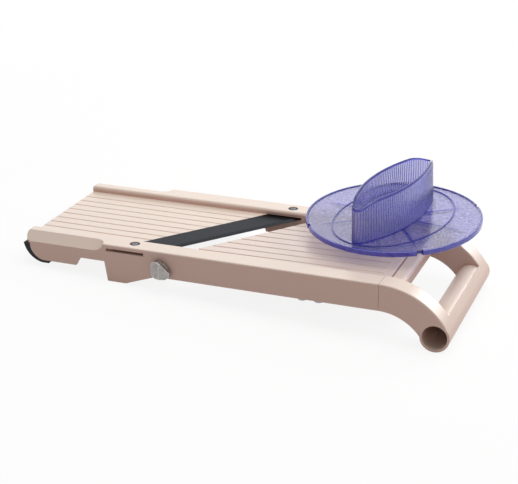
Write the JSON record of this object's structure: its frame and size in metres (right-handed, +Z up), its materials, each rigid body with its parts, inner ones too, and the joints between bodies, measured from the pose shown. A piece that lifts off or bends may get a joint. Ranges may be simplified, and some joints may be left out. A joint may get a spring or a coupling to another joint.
{
  "type": "mandoline slicer",
  "caption": "Wide kitchen mandoline with a diagonal blade between grooved decks, a tilting feed plate, a side thumbscrew, a tube handle and a clear round hand guard with a finger grip.",
  "frame": {"origin": "centre of the bounding box, at the table it stands on", "axes": "+X from the foot end to the handle, +Y across the decks to the guard side, +Z up"},
  "size_m": [0.405, 0.2196, 0.1052],
  "materials": {
    "body_plastic": "satin moulded",
    "inner_plastic": "satin moulded",
    "foot_rubber": "matt",
    "blade_steel": "ground and brushed",
    "dark_steel": "darkened",
    "plain_steel": "bright",
    "insert_brass": "turned",
    "knob_metal": "die cast and tumbled",
    "guard_clear": "clear tinted moulding"
  },
  "bodies": {
    "base": {"main_body": "body_plastic", "handle_frame": "body_plastic", "handle_screws": "plain_steel", "plate_hinge_pins": "plain_steel", "adjuster_bridge": "body_plastic", "bridge_screws": "plain_steel", "cutting_blade": "blade_steel", "blade_screws": "dark_steel", "blade_nuts": "plain_steel", "clamp_insert": "insert_brass", "foot_pad": "foot_rubber"},
    "plate": {"feed_plate": "body_plastic"},
    "dial": {"thickness_dial": "inner_plastic", "dial_spindle": "plain_steel", "dial_screw": "plain_steel", "dial_washer": "plain_steel"},
    "lifter": {"plate_lifter": "inner_plastic"},
    "shoe": {"clamp_shoe": "plain_steel"},
    "thumbscrew": {"clamp_knob": "knob_metal", "clamp_stem": "plain_steel"},
    "guard": {"guard_plate": "guard_clear", "guard_grip": "guard_clear"}
  },
  "joints": [
    {"name": "dial_turn", "type": "hinge", "parent": "base", "child": "dial", "pos_m": [0.0759, -0.02162, 0.01714], "axis": [-0.0646, 0, 0.9979], "range_deg": [-180, 630]},
    {"name": "lifter_lift", "type": "slide", "parent": "base", "child": "lifter", "axis": [-0.0646, 0, 0.9979], "range_m": [-0.0024, 0.0008]},
    {"name": "plate_tilt", "type": "hinge", "parent": "base", "child": "plate", "pos_m": [0.13152, -0.02162, 0.04022], "axis": [0, 1, 0], "range_deg": [-2.4, 0.7]},
    {"name": "shoe_slide", "type": "slide", "parent": "base", "child": "shoe", "axis": [0, 1, 0], "range_m": [-0.003, 0.001]},
    {"name": "thumb_turn", "type": "hinge", "parent": "shoe", "child": "thumbscrew", "pos_m": [-0.06193, -0.10162, 0.0239], "axis": [0, 1, 0], "range_deg": [-1080, 360]},
    {"name": "guard_stroke", "type": "slide", "parent": "base", "child": "guard", "axis": [0.9979, 0, 0.0646], "range_m": [-0.2, 0]}
  ],
  "couplings": [
    {"joint": "lifter_lift", "follows": "dial_turn", "m_per_rad": -0.00019894},
    {"joint": "plate_tilt", "follows": "dial_turn", "ratio": -0.0034902},
    {"joint": "shoe_slide", "follows": "thumb_turn", "m_per_rad": 0.00015915}
  ]
}
